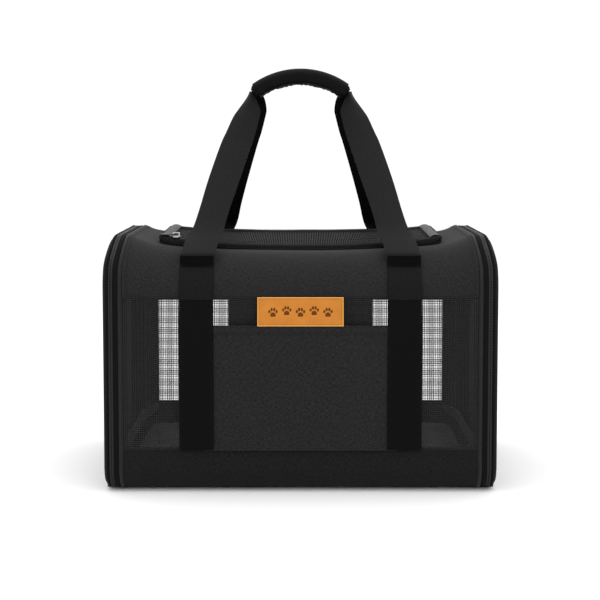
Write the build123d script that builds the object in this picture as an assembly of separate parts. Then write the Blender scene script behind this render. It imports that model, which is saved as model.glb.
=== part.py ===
from build123d import *
from math import asin, atan2, cos, degrees, radians, sin
import os

# Soft-sided pet carrier bag: a duffel with mesh windows, a zipped mesh lid, two zipped
# end doors and a wrapped webbing handle.
#
# Millimetres. X runs along the length (right is +X), Y is the depth (front is -Y) and Z is up.
# The origin is the middle of the base, on the surface that the bag stands on.

# ---- driving sizes ----
LENGTH = 440.0
DEPTH = 280.0
HOOP_TOP = 285.0        # height of the two hooped ends
MIDDLE_TOP = 276.0      # the unsupported middle sags below the ends
HANDLE_TOP = 477.5
SHOULDER = 58.0         # outer radius where the walls turn into the top
CORNER = 28.0           # outer radius where the walls turn into the floor
LEAST_CORNER = 14.0     # and of any outline too far inside for that radius
WALL = 3.0              # padded cloth
MESH = 1.0
WEBBING = 1.6
GAP = 0.4               # between pieces that move apart

# ---- walls ----
BAND_TOP = 49.0         # top of the solid lower band, bottom of the window
WINDOW_TOP = 220.0
BINDING = 9.0           # width of the tape that binds the windows inside
PANEL_END = 198.0       # half length of the walls between the two piped seams
MESH_FACE = DEPTH / 2 - 0.5

# ---- ends, from the piped seam outwards ----
PIPING = 5.0
GUSSET = (203.0, 208.0)
FLANGE = 12.0
SILL = (200.0, 203.0)   # low cloth wall inside each doorway, as high as the lower band
TRACK_END = 211.0       # root half of the door zipper ends here
DOOR_START = TRACK_END + GAP
DOOR_RIM = 214.0
DOOR_FACE = 216.6
DOOR_END = LENGTH / 2
DOOR_BORDER = 34.0
HINGE_TAPE = 1.0
HINGE_HALF = DEPTH / 2 - CORNER

# ---- webbing, pocket, label ----
STRAP_WIDE = 38.0
STRAP_X = 115.6
STRAP_TOP = 255.0       # height at which the sewn webbing comes free
POCKET_HALF = 108.0
POCKET_TOP = 189.0
POCKET_FACE = DEPTH / 2 + 5.6
POCKET_CLOTH = 1.4
BACK_POCKET_HALF = 95.0
LABEL = (96.0, 33.0, 1.8)
LABEL_LOW = 188.0       # the label bridges from the pocket's top edge to the wall above it

# ---- lid ----
OPENING = (147.5, 62.0)
LID = (163.5, 77.0)
LID_BORDER = 15.0
LID_CORNER = 8.0
LIP = 4.0               # the body half of the lid zipper stands up this much
LID_LOW = MIDDLE_TOP + LIP + GAP
LID_THICK = 4.6

# ---- handle ----
GRIP_THICK = 18.0
GRIP_DEEP = 26.0
GRIP_OUTER = 98.0       # radius of the grip's upper line
GRIP_HALF_ANGLE = 38.0
GRIP_WALL = 2.4
FOLDED = 13.0           # width of the webbing once it is folded inside the grip
FOLDED_THICK = 4.8
LEG_START = 5.0         # the free webbing starts this far beyond the grip's end
LEG_FOOT = 1.5          # and ends this far above the sewn webbing

# ---- mat ----
MAT_HALF = (196.0, 122.0)
BOARD_HALF = (194.0, 112.0)
BOARD_TOP = 6.0
MAT_TOP = 27.0

# ---- zipper sliders ----
SLIDER = (10.0, 7.0, 2.0)   # along the teeth, across them, thick
BRIDGE = 4.0
PULL = (20.0, 6.0, 1.2)
PULL_PIN = (0.6, 3.5)       # where the pull turns, along the teeth and above the surface
LID_SLIDER_X = -143.0
DOOR_SLIDER_Z = 48.0


def block(x, y, z):
    """A box from its (low, high) pairs along X, Y and Z."""
    size = [pair[1] - pair[0] for pair in (x, y, z)]
    low = Align.MIN
    return Pos(x[0], y[0], z[0]) * Box(*size, align=(low, low, low))


def outline(inset, top=HOOP_TOP):
    """The bag's end outline in the YZ plane, shrunk by inset all round."""
    wide, tall = DEPTH - 2 * inset, top - 2 * inset
    face = Pos(0, inset) * Rectangle(wide, tall, align=(Align.CENTER, Align.MIN))
    face = fillet(face.vertices().group_by(Axis.Y)[-1], SHOULDER - inset)
    face = fillet(face.vertices().group_by(Axis.Y)[0], max(CORNER - inset, LEAST_CORNER))
    return Plane.YZ * face


def plate(inset, x, top=HOOP_TOP):
    return Pos(x[0], 0, 0) * extrude(outline(inset, top), x[1] - x[0])


def hoop(outer, inner, x, top=HOOP_TOP):
    """A ring that follows the end outline, between two insets."""
    return plate(outer, x, top) - plate(inner, x, top)


def rounded_slab(half, corner, z):
    face = RectangleRounded(2 * half[0], 2 * half[1], corner)
    return Pos(0, 0, z[0]) * extrude(face, z[1] - z[0])


def write(name, shape):
    export_step(shape, f"parts/{name}.step")


def write_pair(name, right_shape):
    """The right-hand piece and its mirror image."""
    write(f"right_{name}", right_shape)
    write(f"left_{name}", mirror(right_shape, about=Plane.YZ))


# ---- the cloth body ----
WHOLE = (-PANEL_END, PANEL_END)
FAR = DEPTH


def make_walls():
    ring = hoop(0, WALL, WHOLE, MIDDLE_TOP)
    write("floor_panel", ring & block(WHOLE, (-HINGE_HALF, HINGE_HALF), (0, WALL)))
    band = ring & block(WHOLE, (-FAR, -HINGE_HALF), (0, BAND_TOP))
    write("front_lower_band", band)
    write("back_lower_band", mirror(band, about=Plane.XZ))
    top = ring & block(WHOLE, (-FAR, FAR), (WINDOW_TOP, HOOP_TOP))
    write("top_panel", top - rounded_slab(OPENING, LID_CORNER, (BAND_TOP, HOOP_TOP)))


def make_windows():
    window = (BAND_TOP, WINDOW_TOP)
    net = block(WHOLE, (-MESH_FACE, MESH - MESH_FACE), window)
    write("front_mesh", net)
    write("back_mesh", mirror(net, about=Plane.XZ))
    inside = MESH - MESH_FACE
    frame = block(WHOLE, (inside, inside + MESH), window)
    hole = (-PANEL_END + BINDING, PANEL_END - BINDING)
    frame -= block(hole, (-FAR, 0), (BAND_TOP + BINDING, WINDOW_TOP - BINDING))
    write("front_binding", frame)
    write("back_binding", mirror(frame, about=Plane.XZ))


def patch_pocket(half, top, seam):
    """A patch sewn to the wall along both sides and the bottom, open at the top."""
    face, back = -POCKET_FACE, -DEPTH / 2
    front = block((-half, half), (face, face + POCKET_CLOTH), (BAND_TOP, top))
    sides = block((-half, half), (face, back), (BAND_TOP, top))
    return front + sides - block(
        (-half + seam, half - seam), (face + POCKET_CLOTH, 0), (BAND_TOP + seam, FAR)
    )


def make_pockets():
    seam = 3.0
    write("front_pocket", patch_pocket(POCKET_HALF, POCKET_TOP, seam))
    rear = patch_pocket(BACK_POCKET_HALF, WINDOW_TOP, seam)
    write("back_pocket", mirror(rear, about=Plane.XZ))
    wide, tall, thick = LABEL
    tag = block((-wide / 2, wide / 2), (-thick, 0), (0, tall))
    tag = fillet(tag.edges().filter_by(Axis.Y), 1.5)
    lean = degrees(atan2(POCKET_FACE - DEPTH / 2, tall))
    write("label", Pos(0, -POCKET_FACE - GAP, LABEL_LOW) * Rotation(-lean, 0, 0) * tag)


def make_sewn_straps():
    """Webbing sewn to the walls, from the lower band or the window up to the shoulder."""
    x = (STRAP_X - STRAP_WIDE / 2, STRAP_X + STRAP_WIDE / 2)
    over = POCKET_FACE + WEBBING
    lower = block(x, (-over, -POCKET_FACE), (BAND_TOP, WINDOW_TOP))
    shoulder = hoop(-WEBBING, 0, x, MIDDLE_TOP)
    upper = shoulder & block(x, (-FAR, 0), (WINDOW_TOP, STRAP_TOP))
    step = block(x, (-over, -DEPTH / 2), (WINDOW_TOP - WEBBING, WINDOW_TOP))
    front = lower + step + upper
    back = mirror(shoulder & block(x, (-FAR, 0), (WINDOW_TOP, STRAP_TOP)), about=Plane.XZ)
    write_pair("front_strap", front)
    write_pair("back_strap", back)


# ---- the hooped ends ----
def make_end_rings():
    seam = (PANEL_END, GUSSET[0])
    path = (Pos((seam[0] + seam[1]) / 2, 0, 0) * outline(PIPING / 2)).wire()
    start = path @ 0
    cord = sweep(Plane(origin=start, z_dir=path % 0) * Circle(PIPING / 2), path=path)
    write_pair("piping", cord)
    side = hoop(0.5, 0.5 + WALL, GUSSET)
    flange = hoop(0.5 + WALL, FLANGE, (GUSSET[0], GUSSET[0] + 1.2))
    write_pair("gusset", side + flange)
    wire = hoop(0.5 + WALL, 1.7 + WALL, (GUSSET[0] + 1.4, GUSSET[1]))
    write_pair("spring_hoop", wire)
    floor_run = block((0, FAR), (-HINGE_HALF, HINGE_HALF), (0, CORNER))
    write_pair("zip_track", hoop(1, 3, (GUSSET[1], TRACK_END)) - floor_run)
    tape = block((GUSSET[1], DOOR_END), (-HINGE_HALF, HINGE_HALF), (0, HINGE_TAPE))
    write_pair("hinge_tape", tape)
    below_top = block((0, FAR), (-FAR, FAR), (0, BAND_TOP))
    write_pair("sill", plate(PIPING + GAP, SILL) & below_top)


def make_doors():
    above_tape = block((0, FAR), (-FAR, FAR), (HINGE_TAPE + GAP, FAR + HOOP_TOP))
    floor_run = block((0, FAR), (-HINGE_HALF, HINGE_HALF), (0, CORNER))
    write_pair("door_zip", hoop(1, 3, (DOOR_START, DOOR_RIM)) - floor_run)
    rim = hoop(0, WALL, (DOOR_RIM, DOOR_FACE))
    face = hoop(0, DOOR_BORDER, (DOOR_FACE, DOOR_END))
    write_pair("door_frame", (rim + face) & above_tape)
    middle = (DOOR_FACE + DOOR_END) / 2
    write_pair("door_mesh", plate(DOOR_BORDER, (middle - MESH / 2, middle + MESH / 2)))


# ---- the lid ----
def make_lid():
    tape = rounded_slab(LID, LID_CORNER, (MIDDLE_TOP, MIDDLE_TOP + LIP))
    tape -= rounded_slab(OPENING, LID_CORNER, (0, HOOP_TOP))
    three_sides = block((-LID[0], LID[0]), (-LID[1], OPENING[1]), (0, HOOP_TOP))
    write("lid_zip_track", tape & three_sides)
    inner = (LID[0] - LID_BORDER, LID[1] - LID_BORDER)
    border = rounded_slab(LID, LID_CORNER, (LID_LOW, LID_LOW + LID_THICK))
    hole = rounded_slab(inner, LID_CORNER / 2, (0, FAR + HOOP_TOP))
    write("lid_border", border - hole)
    net_low = LID_LOW + 1.0
    net = rounded_slab(LID, LID_CORNER, (net_low, net_low + MESH)) & hole
    write("lid_mesh", net)


# ---- zipper sliders: teeth along local X, outward along local Z ----
def make_slider():
    """Slider with its bridge, and its pull lying along -X, over a surface at z = 0."""
    long, wide, thick = SLIDER
    body = extrude(RectangleRounded(long, wide, 3.0), thick)
    arch = block((-4, 4), (-1.2, 1.2), (thick, thick + BRIDGE))
    body += arch - block((-2.6, 2.6), (-2, 2), (thick, thick + BRIDGE - 1.0))
    reach, across, thin = PULL
    tab = extrude(RectangleRounded(reach, across, 2.4), thin)
    tab = Pos(PULL_PIN[0] + 1.0 - reach / 2, 0, PULL_PIN[1] - thin / 2) * tab
    eye = (PULL_PIN[0] - 6.6, PULL_PIN[0] - 1.0)
    return body, tab - block(eye, (-1.7, 1.7), (0, FAR))


def make_sliders():
    body, tab = make_slider()
    at_lid = Pos(LID_SLIDER_X, -LID[1] + SLIDER[1] / 2, LID_LOW + LID_THICK + GAP)
    write("lid_slider", at_lid * body)
    write("lid_pull", at_lid * tab)
    on_back = Location(
        Plane(
            origin=(TRACK_END, DEPTH / 2 + GAP, DOOR_SLIDER_Z),
            x_dir=(0, 0, 1),
            z_dir=(0, 1, 0),
        )
    )
    write_pair("door_slider", on_back * body)
    write_pair("door_pull", on_back * tab)


# ---- the handle ----
GRIP_AXIS_Z = HANDLE_TOP - GRIP_OUTER


def grip_arc(section):
    """A section, drawn at the top of the grip, swept both ways along the grip's arc."""
    about = Axis((0, 0, GRIP_AXIS_Z), (0, 1, 0))
    swept = revolve(section, about, revolution_arc=2 * GRIP_HALF_ANGLE)
    return swept.rotate(about, -GRIP_HALF_ANGLE)


def oval(deep, thick):
    middle = HANDLE_TOP - GRIP_THICK / 2
    return Plane.YZ * (Pos(0, middle) * RectangleRounded(deep, thick, thick / 2 - 0.2))


def make_handle():
    hollow = (GRIP_DEEP - 2 * GRIP_WALL, GRIP_THICK - 2 * GRIP_WALL)
    write("handle_wrap", grip_arc(oval(GRIP_DEEP, GRIP_THICK) - oval(*hollow)))
    middle = HANDLE_TOP - GRIP_THICK / 2
    side = Pos(-FOLDED_THICK / 2 - 0.1, middle) * Rectangle(FOLDED_THICK, FOLDED - 0.4)
    strap = grip_arc(Plane.YZ * side)
    write("front_grip_strap", strap)
    write("back_grip_strap", mirror(strap, about=Plane.XZ))


def make_legs():
    """Free webbing from the shoulders to the ends of the grip, folding as it rises."""
    turn, radius = radians(GRIP_HALF_ANGLE), GRIP_OUTER - GRIP_THICK / 2
    head_x = radius * sin(turn) + LEG_START * cos(turn)
    head_z = GRIP_AXIS_Z + radius * cos(turn) - LEG_START * sin(turn)
    high = Vector(head_x, -FOLDED_THICK / 2 - 0.1, head_z)
    lean = asin((STRAP_TOP - MIDDLE_TOP + SHOULDER) / SHOULDER)
    out = SHOULDER + WEBBING / 2 + GAP
    tangent = Vector(0, sin(lean), cos(lean))
    foot_y = -(DEPTH / 2 - SHOULDER) - out * cos(lean)
    foot_z = MIDDLE_TOP - SHOULDER + out * sin(lean)
    low = Vector(STRAP_X, foot_y, foot_z) + LEG_FOOT * tangent
    along = (high - low).normalized()
    across = Vector(0, 1, 0).cross(along)
    foot = Plane(origin=low, x_dir=(1, 0, 0), z_dir=tangent) * Rectangle(STRAP_WIDE, WEBBING)
    head = Plane(origin=high, x_dir=across, z_dir=along) * Rectangle(FOLDED, 2 * WEBBING)
    leg = loft([foot, head])
    write_pair("front_leg", leg)
    write_pair("back_leg", mirror(leg, about=Plane.XZ))


# ---- the mat ----
def make_mat():
    board = rounded_slab(BOARD_HALF, 12, (WALL + GAP, BOARD_TOP))
    write("base_board", board)
    mat = rounded_slab(MAT_HALF, 30, (BOARD_TOP, MAT_TOP))
    write("fleece_mat", fillet(mat.edges().group_by(Axis.Z)[-1], 6))


os.makedirs("parts", exist_ok=True)
make_walls()
make_windows()
make_pockets()
make_sewn_straps()
make_end_rings()
make_doors()
make_lid()
make_sliders()
make_handle()
make_legs()
make_mat()
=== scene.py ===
import bpy
import math
from mathutils import Matrix, Vector, noise


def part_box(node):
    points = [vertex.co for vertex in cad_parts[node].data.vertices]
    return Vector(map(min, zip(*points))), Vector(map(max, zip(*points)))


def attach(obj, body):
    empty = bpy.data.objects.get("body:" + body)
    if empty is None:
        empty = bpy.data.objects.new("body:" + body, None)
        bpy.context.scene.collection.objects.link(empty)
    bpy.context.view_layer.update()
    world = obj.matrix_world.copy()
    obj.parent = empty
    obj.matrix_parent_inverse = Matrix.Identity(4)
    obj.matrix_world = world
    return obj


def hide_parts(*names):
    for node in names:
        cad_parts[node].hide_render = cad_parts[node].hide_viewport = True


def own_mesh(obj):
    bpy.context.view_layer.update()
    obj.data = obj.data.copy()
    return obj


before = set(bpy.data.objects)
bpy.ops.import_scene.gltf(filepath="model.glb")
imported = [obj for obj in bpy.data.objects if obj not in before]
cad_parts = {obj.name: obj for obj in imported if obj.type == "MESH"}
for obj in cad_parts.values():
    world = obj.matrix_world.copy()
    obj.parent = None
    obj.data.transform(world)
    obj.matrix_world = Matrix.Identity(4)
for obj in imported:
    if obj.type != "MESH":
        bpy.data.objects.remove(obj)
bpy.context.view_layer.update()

# Shapes are worked out in millimetres and brought down to metres as each piece is finished.
toMetres = 0.001


def cadBox(node):
    low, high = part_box(node)
    return low / toMetres, high / toMetres


doorHigh = cadBox("right_door_frame")[1]
panelHigh = cadBox("top_panel")[1]
windowLow, windowHigh = cadBox("front_mesh")
bag = {
    "halfDepth": doorHigh.y,
    "hoopTop": doorHigh.z,
    "middleTop": panelHigh.z,
    "panelEnd": panelHigh.x,
    "windowLow": windowLow.z,
    "windowHigh": windowHigh.z,
    "shoulder": 58.0,
    "corner": 28.0,
    "frontDip": 8.2,      # how far the front of the lid opening sinks between the hoops
    "lean": 5.0,          # how far the ends lean in over the top of their hoops
    "leanRise": 1.4,
}
print("frame loaded, bag", [round(v) for v in doorHigh])


def deselectAll():
    if bpy.context.mode != "OBJECT":
        bpy.ops.object.mode_set(mode="OBJECT")
    bpy.ops.object.select_all(action="DESELECT")


def pick(obj):
    deselectAll()
    bpy.context.view_layer.objects.active = obj
    obj.select_set(True)


def smoothStep(t):
    t = min(max(t, 0.0), 1.0)
    return t * t * (3 - 2 * t)


def mix(a, b, t):
    return a + (b - a) * t


def addModifier(obj, kind, **values):
    made = obj.modifiers.new(kind.lower(), kind)
    for key, value in values.items():
        setattr(made, key, value)
    return made


def applyModifiers(obj):
    pick(obj)
    for modifier in list(obj.modifiers):
        bpy.ops.object.modifier_apply(modifier=modifier.name)


# runs edit-mode operators on the whole mesh
def editAll(obj, *steps):
    pick(obj)
    bpy.ops.object.mode_set(mode="EDIT")
    bpy.ops.mesh.select_all(action="SELECT")
    for step in steps:
        step()
    bpy.ops.object.mode_set(mode="OBJECT")


def weld(distance=0.02):
    return lambda: bpy.ops.mesh.remove_doubles(threshold=distance)


def outward():
    return lambda: bpy.ops.mesh.normals_make_consistent(inside=False)


# a grid laid over u, v in 0..1, each point then put where place(u, v) says. Its UV map is
# scaled to size in millimetres, so that a weave keeps its scale
def gridPiece(name, columns, rows, place, size=(1.0, 1.0), closed=False):
    deselectAll()
    bpy.ops.mesh.primitive_grid_add(x_subdivisions=columns, y_subdivisions=rows, size=1)
    obj = bpy.context.active_object
    obj.name = obj.data.name = name
    for vertex in obj.data.vertices:
        vertex.co = Vector(place(vertex.co.x + 0.5, vertex.co.y + 0.5))
    for loop in obj.data.uv_layers.active.data:
        loop.uv = (loop.uv[0] * size[0], loop.uv[1] * size[1])
    if closed:
        editAll(obj, weld())
    return obj


def joinPieces(objects, name):
    pick(objects[0])
    for obj in objects[1:]:
        obj.select_set(True)
    bpy.ops.object.join()
    objects[0].name = objects[0].data.name = name
    return objects[0]


# a copy on the other side of the bag, with its own mesh
def mirrored(obj, name, axis=(1, 0, 0)):
    pick(obj)
    bpy.ops.object.duplicate()
    copy = bpy.context.active_object
    copy.name = copy.data.name = name
    copy.data.transform(Matrix.Scale(-1, 4, axis))
    copy.data.flip_normals()
    return copy


# gives a sheet its thickness and, where asked, soft edges
def thicken(obj, thick, offset=0.0, soft=None, sharper=30):
    addModifier(obj, "SOLIDIFY", thickness=thick, offset=offset)
    if soft:
        addModifier(obj, "BEVEL", width=soft, segments=2, limit_method="ANGLE",
                    angle_limit=math.radians(sharper))
    applyModifiers(obj)
    editAll(obj, outward())
    return obj


# lays a piece's UV map, in millimetres, by a rule from a point of the mesh to (u, v)
def mapUv(obj, rule):
    layer = obj.data.uv_layers.active or obj.data.uv_layers.new(name="UVMap")
    for loop, corner in zip(layer.data, obj.data.loops):
        loop.uv = rule(obj.data.vertices[corner.vertex_index].co)


def sampled(rule, steps):
    return [rule(i / steps) for i in range(steps + 1)]


# the bag's ends lean in a little over the top of their hoops
def leanIn(obj):
    for vertex in obj.data.vertices:
        co = vertex.co
        share = smoothStep((abs(co.x) - 178) / 30) * smoothStep((co.z - 250) / 38)
        if share > 0:
            co.x -= math.copysign(bag["lean"] * share, co.x)
            co.z += bag["leanRise"] * share


# applies what is live, comes down to metres, and rides on a body of the frame
def finishPiece(obj, body, material, slot, nodes=(), smooth=40, squashed=None):
    applyModifiers(obj)
    bpy.ops.object.transform_apply(location=True, rotation=True, scale=True)
    leanIn(obj)
    obj.data.transform(Matrix.Scale(toMetres, 4))
    obj.data.materials.clear()
    obj.data.materials.append(material)
    pick(obj)
    bpy.ops.object.shade_smooth_by_angle(angle=math.radians(smooth))
    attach(obj, body)
    if nodes:
        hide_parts(*nodes)
    if squashed:
        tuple(squashed["axis"])
        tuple(squashed["anchor"])
        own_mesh(obj)
    return obj


# finishes a right-hand piece and its mirrored copy; nodes are named without their side
def finishPair(right, body, material, slot, nodes=(), squashed=None):
    left = mirrored(right, right.name.replace("right", "left"))
    for side, obj in (("right", right), ("left", left)):
        finishPiece(obj, body if body == "root" else side + "_" + body, material, slot,
                    [side + "_" + node for node in nodes], squashed=squashed)
    return right, left


# point (y, z) at share t of the way round the end outline: from the middle of the base, up the
# front, over the top and down the back. Every straight and every round has its share
def outlinePoint(t, inset=0.0):
    top = bag["hoopTop"] - inset
    half = bag["halfDepth"] - inset
    low = inset
    radius = max(bag["shoulder"] - inset, 8.0)
    corner = max(bag["corner"] - inset, 8.0)
    side = -1.0 if t <= 0.5 else 1.0
    s = (t if t <= 0.5 else 1.0 - t) * 2.0
    marks = (0.0, 0.2, 0.32, 0.66, 0.84, 1.0)     # base, corner, wall, shoulder, top
    flat = half - corner
    if s <= marks[1]:
        y, z = mix(0, flat, s / marks[1]), low
    elif s <= marks[2]:
        a = (s - marks[1]) / (marks[2] - marks[1]) * math.pi / 2
        y, z = flat + corner * math.sin(a), low + corner * (1 - math.cos(a))
    elif s <= marks[3]:
        y, z = half, mix(low + corner, top - radius, (s - marks[2]) / (marks[3] - marks[2]))
    elif s <= marks[4]:
        a = (s - marks[3]) / (marks[4] - marks[3]) * math.pi / 2
        y, z = half - radius * (1 - math.cos(a)), top - radius * (1 - math.sin(a))
    else:
        y, z = mix(half - radius, 0, (s - marks[4]) / (marks[5] - marks[4])), top
    return side * y, z


outlineLength = 960.0       # once round the end outline


# a ring round the end outline whose closed section is a list of (x, inset) points
def endRing(name, section, rows=200, start=0.0, stop=1.0):
    count = len(section)

    def place(u, v):
        x, inset = section[round(u * count) % count]
        return (x, *outlinePoint(mix(start, stop, v), inset))

    size = (sectionLength(section), outlineLength * (stop - start))
    obj = gridPiece(name, count, rows, place, size, closed=True)
    if (start, stop) != (0.0, 1.0):
        closeEnds(obj)
    editAll(obj, outward())
    return obj


def sectionLength(section):
    around = section[1:] + section[:1]
    return sum((Vector(a) - Vector(b)).length for a, b in zip(section, around))


# puts a face over each open end of a tube
def closeEnds(obj):
    pick(obj)
    bpy.ops.object.mode_set(mode="EDIT")
    bpy.ops.mesh.select_all(action="DESELECT")
    bpy.ops.mesh.select_mode(type="EDGE")
    bpy.ops.mesh.select_non_manifold()
    bpy.ops.mesh.edge_face_add()
    bpy.ops.mesh.select_mode(type="VERT")
    bpy.ops.object.mode_set(mode="OBJECT")


def roundSection(centre, radius, count=10):
    turn = 2 * math.pi / count
    return [
        (centre[0] + radius * math.cos(i * turn), centre[1] + radius * math.sin(i * turn))
        for i in range(count)
    ]


# height of the top cloth: up at the hoops, sunk in the middle and most at the front
def topHeight(x, y):
    across = min(abs(x) / bag["panelEnd"], 1.0)
    rise = (bag["hoopTop"] - bag["middleTop"]) * across**8
    front = smoothStep((110.0 - y) / 190.0)
    dip = bag["frontDip"] * front * max(1 - (x / 180.0) ** 2, 0) ** 0.7
    return bag["middleTop"] + rise - dip


def newGroup(name, inputs, outputs):
    group = bpy.data.node_groups.new(name, "ShaderNodeTree")
    for label, kind, value in inputs:
        made = group.interface.new_socket(name=label, in_out="INPUT", socket_type=kind)
        if value is not None:
            made.default_value = value
    for label, kind in outputs:
        group.interface.new_socket(name=label, in_out="OUTPUT", socket_type=kind)
    return group, group.nodes.new("NodeGroupInput"), group.nodes.new("NodeGroupOutput")


# gives a socket a plain value, or a link from another socket
def setSocket(tree, socket, value):
    if isinstance(value, bpy.types.NodeSocket):
        tree.links.new(value, socket)
    elif value is not None:
        socket.default_value = value


def mathNode(tree, operation, first, second=None, third=None, clamp=False):
    node = tree.nodes.new("ShaderNodeMath")
    node.operation = operation
    node.use_clamp = clamp
    for socket, value in zip(node.inputs, (first, second, third)):
        setSocket(tree, socket, value)
    return node.outputs[0]


def mixNode(tree, factor, first, second, blend="MIX"):
    node = tree.nodes.new("ShaderNodeMix")
    node.data_type = "RGBA"
    node.blend_type = blend
    for index, value in ((0, factor), (6, first), (7, second)):
        setSocket(tree, node.inputs[index], value)
    return node.outputs[2]


def noiseNode(tree, vector, scale, detail=3.0, rough=0.6):
    node = tree.nodes.new("ShaderNodeTexNoise")
    node.inputs["Scale"].default_value = scale
    node.inputs["Detail"].default_value = detail
    node.inputs["Roughness"].default_value = rough
    tree.links.new(vector, node.inputs["Vector"])
    return node.outputs["Fac"]


# over-and-under threads from a UV map in millimetres: a height, and how deep a point lies
def makeWeaveGroup():
    group, given, out = newGroup(
        "threadWeave",
        [("Vector", "NodeSocketVector", None), ("Across", "NodeSocketFloat", 1.0),
         ("Along", "NodeSocketFloat", 1.0), ("Slant", "NodeSocketFloat", 0.0)],
        [("Height", "NodeSocketFloat"), ("Gap", "NodeSocketFloat")],
    )
    link = group.links.new
    split = group.nodes.new("ShaderNodeSeparateXYZ")
    link(given.outputs["Vector"], split.inputs[0])
    slanted = mathNode(group, "MULTIPLY", split.outputs[0], given.outputs["Slant"])
    along = mathNode(group, "ADD", split.outputs[1], slanted)
    u = mathNode(group, "DIVIDE", split.outputs[0], given.outputs["Across"])
    v = mathNode(group, "DIVIDE", along, given.outputs["Along"])
    sineU = mathNode(group, "SINE", mathNode(group, "MULTIPLY", u, math.pi))
    sineV = mathNode(group, "SINE", mathNode(group, "MULTIPLY", v, math.pi))
    cross = mathNode(group, "MULTIPLY", sineU, sineV)
    link(mathNode(group, "MULTIPLY_ADD", cross, 0.5, 0.5), out.inputs["Height"])
    edge = mathNode(group, "ABSOLUTE", cross)
    link(mathNode(group, "SUBTRACT", 1.0, edge, clamp=True), out.inputs["Gap"])
    return group


# light and dark yarn flecks with slow cloudy changes, as a blend between two colours
def makeHeatherGroup():
    group, given, out = newGroup(
        "heatherYarn",
        [("Vector", "NodeSocketVector", None), ("Dark", "NodeSocketColor", None),
         ("Light", "NodeSocketColor", None), ("Cloud", "NodeSocketFloat", 0.25)],
        [("Color", "NodeSocketColor"), ("Fleck", "NodeSocketFloat")],
    )
    link = group.links.new
    vector = given.outputs["Vector"]
    flecks = []
    for scale in ((1.0, 0.28, 1.0), (0.28, 1.0, 1.0)):      # yarns that run along, then across
        stretch = group.nodes.new("ShaderNodeMapping")
        stretch.inputs["Scale"].default_value = scale
        link(vector, stretch.inputs["Vector"])
        flecks.append(noiseNode(group, stretch.outputs[0], 0.9, 4.0, 0.7))
    cloud = noiseNode(group, vector, 0.02, 4.0)
    fleck = mathNode(group, "MULTIPLY", mathNode(group, "ADD", *flecks), 0.5)
    centred = mathNode(group, "SUBTRACT", cloud, 0.5)
    slow = mathNode(group, "MULTIPLY", centred, given.outputs["Cloud"])
    contrast = mathNode(group, "MULTIPLY", mathNode(group, "SUBTRACT", fleck, 0.42), 6.0)
    factor = mathNode(group, "ADD", contrast, slow, clamp=True)
    blend = mixNode(group, factor, given.outputs["Dark"], given.outputs["Light"])
    link(blend, out.inputs["Color"])
    link(factor, out.inputs["Fleck"])
    return group


# fine pebbled grain over an object's own coordinates, for leather, metal and mouldings
def makeGrainGroup():
    group, given, out = newGroup(
        "fineGrain",
        [("Vector", "NodeSocketVector", None), ("Scale", "NodeSocketFloat", 900.0)],
        [("Height", "NodeSocketFloat"), ("Patch", "NodeSocketFloat")],
    )
    link = group.links.new
    cells = group.nodes.new("ShaderNodeTexVoronoi")
    cells.feature = "DISTANCE_TO_EDGE"
    link(given.outputs["Vector"], cells.inputs["Vector"])
    link(given.outputs["Scale"], cells.inputs["Scale"])
    link(mathNode(group, "MULTIPLY", cells.outputs["Distance"], 3.0, clamp=True),
         out.inputs["Height"])
    link(noiseNode(group, given.outputs["Vector"], 60.0, 5.0), out.inputs["Patch"])
    return group


weaveGroup = makeWeaveGroup()
heatherGroup = makeHeatherGroup()
grainGroup = makeGrainGroup()


def newMaterial(name):
    material = bpy.data.materials.new(name)
    material.use_nodes = True
    tree = material.node_tree
    return material, tree, tree.nodes["Principled BSDF"]


def placeGroup(tree, group, **values):
    node = tree.nodes.new("ShaderNodeGroup")
    node.node_tree = group
    for key, value in values.items():
        node.inputs[key].default_value = value
    return node


def addBump(tree, shader, height, strength, distance):
    bump = tree.nodes.new("ShaderNodeBump")
    bump.inputs["Strength"].default_value = strength
    bump.inputs["Distance"].default_value = distance
    tree.links.new(height, bump.inputs["Height"])
    tree.links.new(bump.outputs["Normal"], shader.inputs["Normal"])


def grey(value):
    return (value, value, value * 1.02, 1.0)


# woven cloth or webbing. Its pattern follows the piece's UV map, in millimetres
def clothMaterial(name, look):
    material, tree, shader = newMaterial(name)
    link = tree.links.new
    uv = tree.nodes.new("ShaderNodeUVMap")
    weave = placeGroup(tree, weaveGroup, Across=look["across"], Along=look["along"],
                       Slant=look.get("slant", 0.0))
    yarn = placeGroup(tree, heatherGroup, Dark=grey(look["dark"]), Light=grey(look["light"]),
                      Cloud=look.get("cloud", 0.3))
    link(uv.outputs[0], weave.inputs["Vector"])
    link(uv.outputs[0], yarn.inputs["Vector"])
    # the yarn colour is darkened where the weave lies deep between threads: painted shade in the
    # hollows of the weave
    shade = mixNode(tree, weave.outputs["Gap"], yarn.outputs["Color"],
                    grey(look.get("gap", 0.55)), "MULTIPLY")
    link(shade, shader.inputs["Base Color"])
    rough = mathNode(tree, "MULTIPLY_ADD", yarn.outputs["Fleck"], 0.12, look["rough"])
    link(rough, shader.inputs["Roughness"])
    shader.inputs["Specular IOR Level"].default_value = look.get("specular", 0.25)
    shader.inputs["Sheen Weight"].default_value = look.get("sheen", 0.08)
    shader.inputs["Sheen Roughness"].default_value = 0.5
    addBump(tree, shader, weave.outputs["Height"], look["bump"], look["relief"])
    return material


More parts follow.
